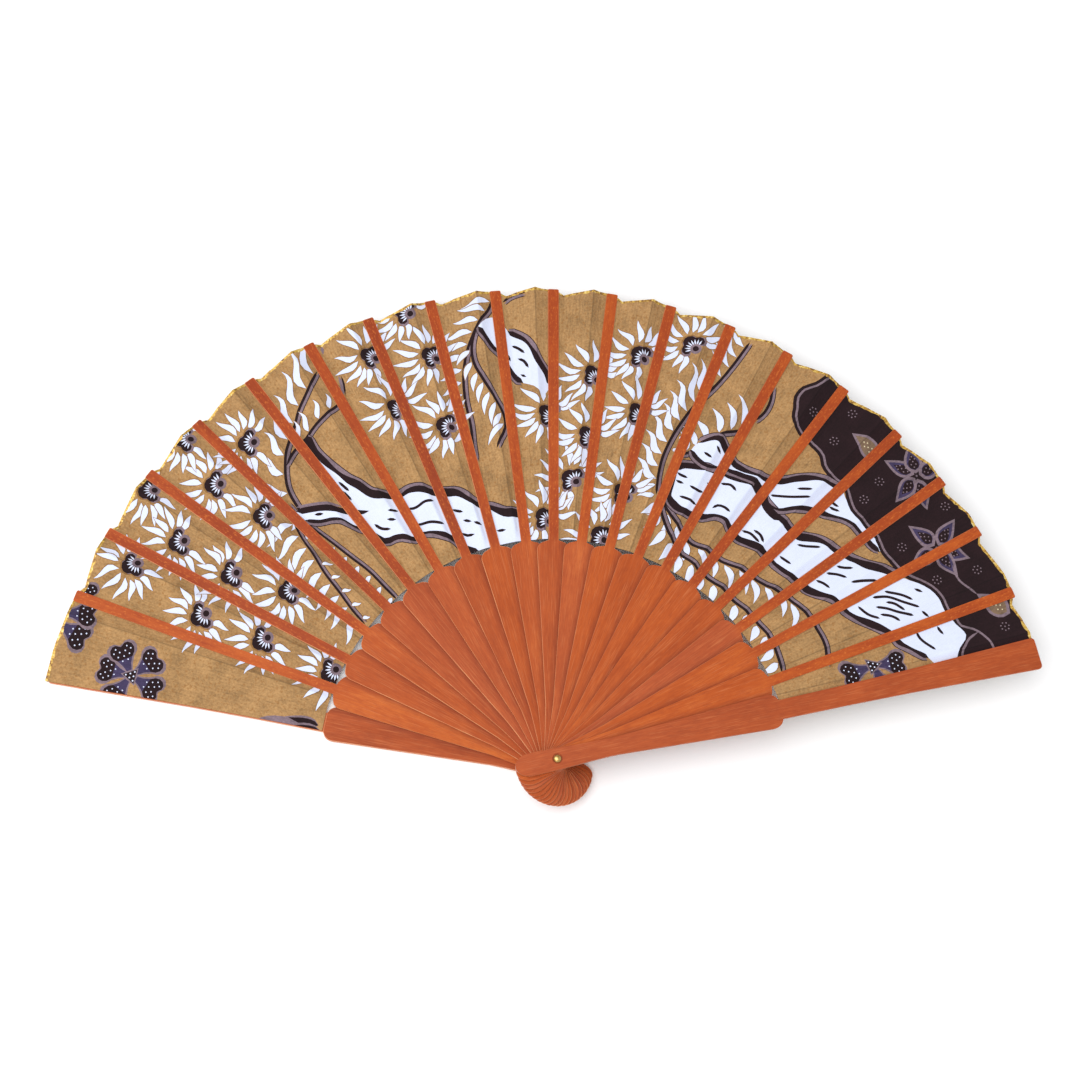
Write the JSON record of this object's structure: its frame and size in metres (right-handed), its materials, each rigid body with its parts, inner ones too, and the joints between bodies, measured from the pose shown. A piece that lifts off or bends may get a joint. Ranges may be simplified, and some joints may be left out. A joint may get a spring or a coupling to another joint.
{
  "type": "folding hand fan",
  "caption": "Open folding fan with flat wooden sticks on a rivet, shouldered ribs and a pleated printed cloth leaf between two guards.",
  "frame": {"origin": "on the rivet's axis, at the flat rear face of the rivet, in the plane of the rear guard's outer face", "axes": "+Z along the rivet towards the front guard, +Y along the middle rib, +X across the open fan towards the front guard"},
  "size_m": [0.4128, 0.2275, 0.0251],
  "materials": {
    "guard_wood": "satin, straight grain, edges sanded round",
    "rib_wood": "satin, straight grain, pale sanded edges",
    "rivet_brass": "polished, slightly worn",
    "leaf_cloth": "matt plain-woven cotton, wax-resist printed, gilt along the rim"
  },
  "bodies": {
    "rear_guard": {"rear_guard": "guard_wood", "rivet_pin": "rivet_brass", "rivet_head_front": "rivet_brass", "rivet_head_rear": "rivet_brass", "leaf_pleat_01": "leaf_cloth"},
    "rib_01": {"rib_01": "rib_wood", "leaf_pleat_02": "leaf_cloth"},
    "rib_02": {"rib_02": "rib_wood", "leaf_pleat_03": "leaf_cloth"},
    "rib_03": {"rib_03": "rib_wood", "leaf_pleat_04": "leaf_cloth"},
    "rib_04": {"rib_04": "rib_wood", "leaf_pleat_05": "leaf_cloth"},
    "rib_05": {"rib_05": "rib_wood", "leaf_pleat_06": "leaf_cloth"},
    "rib_06": {"rib_06": "rib_wood", "leaf_pleat_07": "leaf_cloth"},
    "rib_07": {"rib_07": "rib_wood", "leaf_pleat_08": "leaf_cloth"},
    "rib_08": {"rib_08": "rib_wood", "leaf_pleat_09": "leaf_cloth"},
    "rib_09": {"rib_09": "rib_wood", "leaf_pleat_10": "leaf_cloth"},
    "rib_10": {"rib_10": "rib_wood", "leaf_pleat_11": "leaf_cloth"},
    "rib_11": {"rib_11": "rib_wood", "leaf_pleat_12": "leaf_cloth"},
    "rib_12": {"rib_12": "rib_wood", "leaf_pleat_13": "leaf_cloth"},
    "rib_13": {"rib_13": "rib_wood", "leaf_pleat_14": "leaf_cloth"},
    "rib_14": {"rib_14": "rib_wood", "leaf_pleat_15": "leaf_cloth"},
    "rib_15": {"rib_15": "rib_wood", "leaf_pleat_16": "leaf_cloth"},
    "rib_16": {"rib_16": "rib_wood", "leaf_pleat_17": "leaf_cloth"},
    "rib_17": {"rib_17": "rib_wood", "leaf_pleat_18": "leaf_cloth"},
    "rib_18": {"rib_18": "rib_wood", "leaf_pleat_19": "leaf_cloth"},
    "rib_19": {"rib_19": "rib_wood", "leaf_pleat_20": "leaf_cloth"},
    "front_guard": {"front_guard": "guard_wood"}
  },
  "joints": [
    {"name": "fold_01", "type": "hinge", "parent": "rear_guard", "child": "rib_01", "pos_m": [0, 0, 0], "axis": [0, 0, 1], "range_deg": [0, 8.5], "deforming": ["leaf_pleat_01"]},
    {"name": "fold_02", "type": "hinge", "parent": "rib_01", "child": "rib_02", "pos_m": [0, 0, 0], "axis": [0, 0, 1], "range_deg": [0, 8.1], "deforming": ["leaf_pleat_02"]},
    {"name": "fold_03", "type": "hinge", "parent": "rib_02", "child": "rib_03", "pos_m": [0, 0, 0], "axis": [0, 0, 1], "range_deg": [0, 8.3], "deforming": ["leaf_pleat_03"]},
    {"name": "fold_04", "type": "hinge", "parent": "rib_03", "child": "rib_04", "pos_m": [0, 0, 0], "axis": [0, 0, 1], "range_deg": [0, 8.1], "deforming": ["leaf_pleat_04"]},
    {"name": "fold_05", "type": "hinge", "parent": "rib_04", "child": "rib_05", "pos_m": [0, 0, 0], "axis": [0, 0, 1], "range_deg": [0, 8], "deforming": ["leaf_pleat_05"]},
    {"name": "fold_06", "type": "hinge", "parent": "rib_05", "child": "rib_06", "pos_m": [0, 0, 0], "axis": [0, 0, 1], "range_deg": [0, 8.2], "deforming": ["leaf_pleat_06"]},
    {"name": "fold_07", "type": "hinge", "parent": "rib_06", "child": "rib_07", "pos_m": [0, 0, 0], "axis": [0, 0, 1], "range_deg": [0, 7.7], "deforming": ["leaf_pleat_07"]},
    {"name": "fold_08", "type": "hinge", "parent": "rib_07", "child": "rib_08", "pos_m": [0, 0, 0], "axis": [0, 0, 1], "range_deg": [0, 7.7], "deforming": ["leaf_pleat_08"]},
    {"name": "fold_09", "type": "hinge", "parent": "rib_08", "child": "rib_09", "pos_m": [0, 0, 0], "axis": [0, 0, 1], "range_deg": [0, 7.9], "deforming": ["leaf_pleat_09"]},
    {"name": "fold_10", "type": "hinge", "parent": "rib_09", "child": "rib_10", "pos_m": [0, 0, 0], "axis": [0, 0, 1], "range_deg": [0, 7], "deforming": ["leaf_pleat_10"]},
    {"name": "fold_11", "type": "hinge", "parent": "rib_10", "child": "rib_11", "pos_m": [0, 0, 0], "axis": [0, 0, 1], "range_deg": [0, 7.1], "deforming": ["leaf_pleat_11"]},
    {"name": "fold_12", "type": "hinge", "parent": "rib_11", "child": "rib_12", "pos_m": [0, 0, 0], "axis": [0, 0, 1], "range_deg": [0, 7.2], "deforming": ["leaf_pleat_12"]},
    {"name": "fold_13", "type": "hinge", "parent": "rib_12", "child": "rib_13", "pos_m": [0, 0, 0], "axis": [0, 0, 1], "range_deg": [0, 7.5], "deforming": ["leaf_pleat_13"]},
    {"name": "fold_14", "type": "hinge", "parent": "rib_13", "child": "rib_14", "pos_m": [0, 0, 0], "axis": [0, 0, 1], "range_deg": [0, 7.6], "deforming": ["leaf_pleat_14"]},
    {"name": "fold_15", "type": "hinge", "parent": "rib_14", "child": "rib_15", "pos_m": [0, 0, 0], "axis": [0, 0, 1], "range_deg": [0, 7.9], "deforming": ["leaf_pleat_15"]},
    {"name": "fold_16", "type": "hinge", "parent": "rib_15", "child": "rib_16", "pos_m": [0, 0, 0], "axis": [0, 0, 1], "range_deg": [0, 8.3], "deforming": ["leaf_pleat_16"]},
    {"name": "fold_17", "type": "hinge", "parent": "rib_16", "child": "rib_17", "pos_m": [0, 0, 0], "axis": [0, 0, 1], "range_deg": [0, 7.7], "deforming": ["leaf_pleat_17"]},
    {"name": "fold_18", "type": "hinge", "parent": "rib_17", "child": "rib_18", "pos_m": [0, 0, 0], "axis": [0, 0, 1], "range_deg": [0, 7.3], "deforming": ["leaf_pleat_18"]},
    {"name": "fold_19", "type": "hinge", "parent": "rib_18", "child": "rib_19", "pos_m": [0, 0, 0], "axis": [0, 0, 1], "range_deg": [0, 8.2], "deforming": ["leaf_pleat_19"]},
    {"name": "fold_20", "type": "hinge", "parent": "rib_19", "child": "front_guard", "pos_m": [0, 0, 0], "axis": [0, 0, 1], "range_deg": [0, 7.7], "deforming": ["leaf_pleat_20"]}
  ],
  "couplings": [
    {"joint": "fold_02", "follows": "fold_01", "ratio": 0.95294},
    {"joint": "fold_03", "follows": "fold_01", "ratio": 0.97647},
    {"joint": "fold_04", "follows": "fold_01", "ratio": 0.95294},
    {"joint": "fold_05", "follows": "fold_01", "ratio": 0.94118},
    {"joint": "fold_06", "follows": "fold_01", "ratio": 0.96471},
    {"joint": "fold_07", "follows": "fold_01", "ratio": 0.90588},
    {"joint": "fold_08", "follows": "fold_01", "ratio": 0.90588},
    {"joint": "fold_09", "follows": "fold_01", "ratio": 0.92941},
    {"joint": "fold_10", "follows": "fold_01", "ratio": 0.82353},
    {"joint": "fold_11", "follows": "fold_01", "ratio": 0.83529},
    {"joint": "fold_12", "follows": "fold_01", "ratio": 0.84706},
    {"joint": "fold_13", "follows": "fold_01", "ratio": 0.88235},
    {"joint": "fold_14", "follows": "fold_01", "ratio": 0.89412},
    {"joint": "fold_15", "follows": "fold_01", "ratio": 0.92941},
    {"joint": "fold_16", "follows": "fold_01", "ratio": 0.97647},
    {"joint": "fold_17", "follows": "fold_01", "ratio": 0.90588},
    {"joint": "fold_18", "follows": "fold_01", "ratio": 0.85882},
    {"joint": "fold_19", "follows": "fold_01", "ratio": 0.96471},
    {"joint": "fold_20", "follows": "fold_01", "ratio": 0.90588}
  ]
}
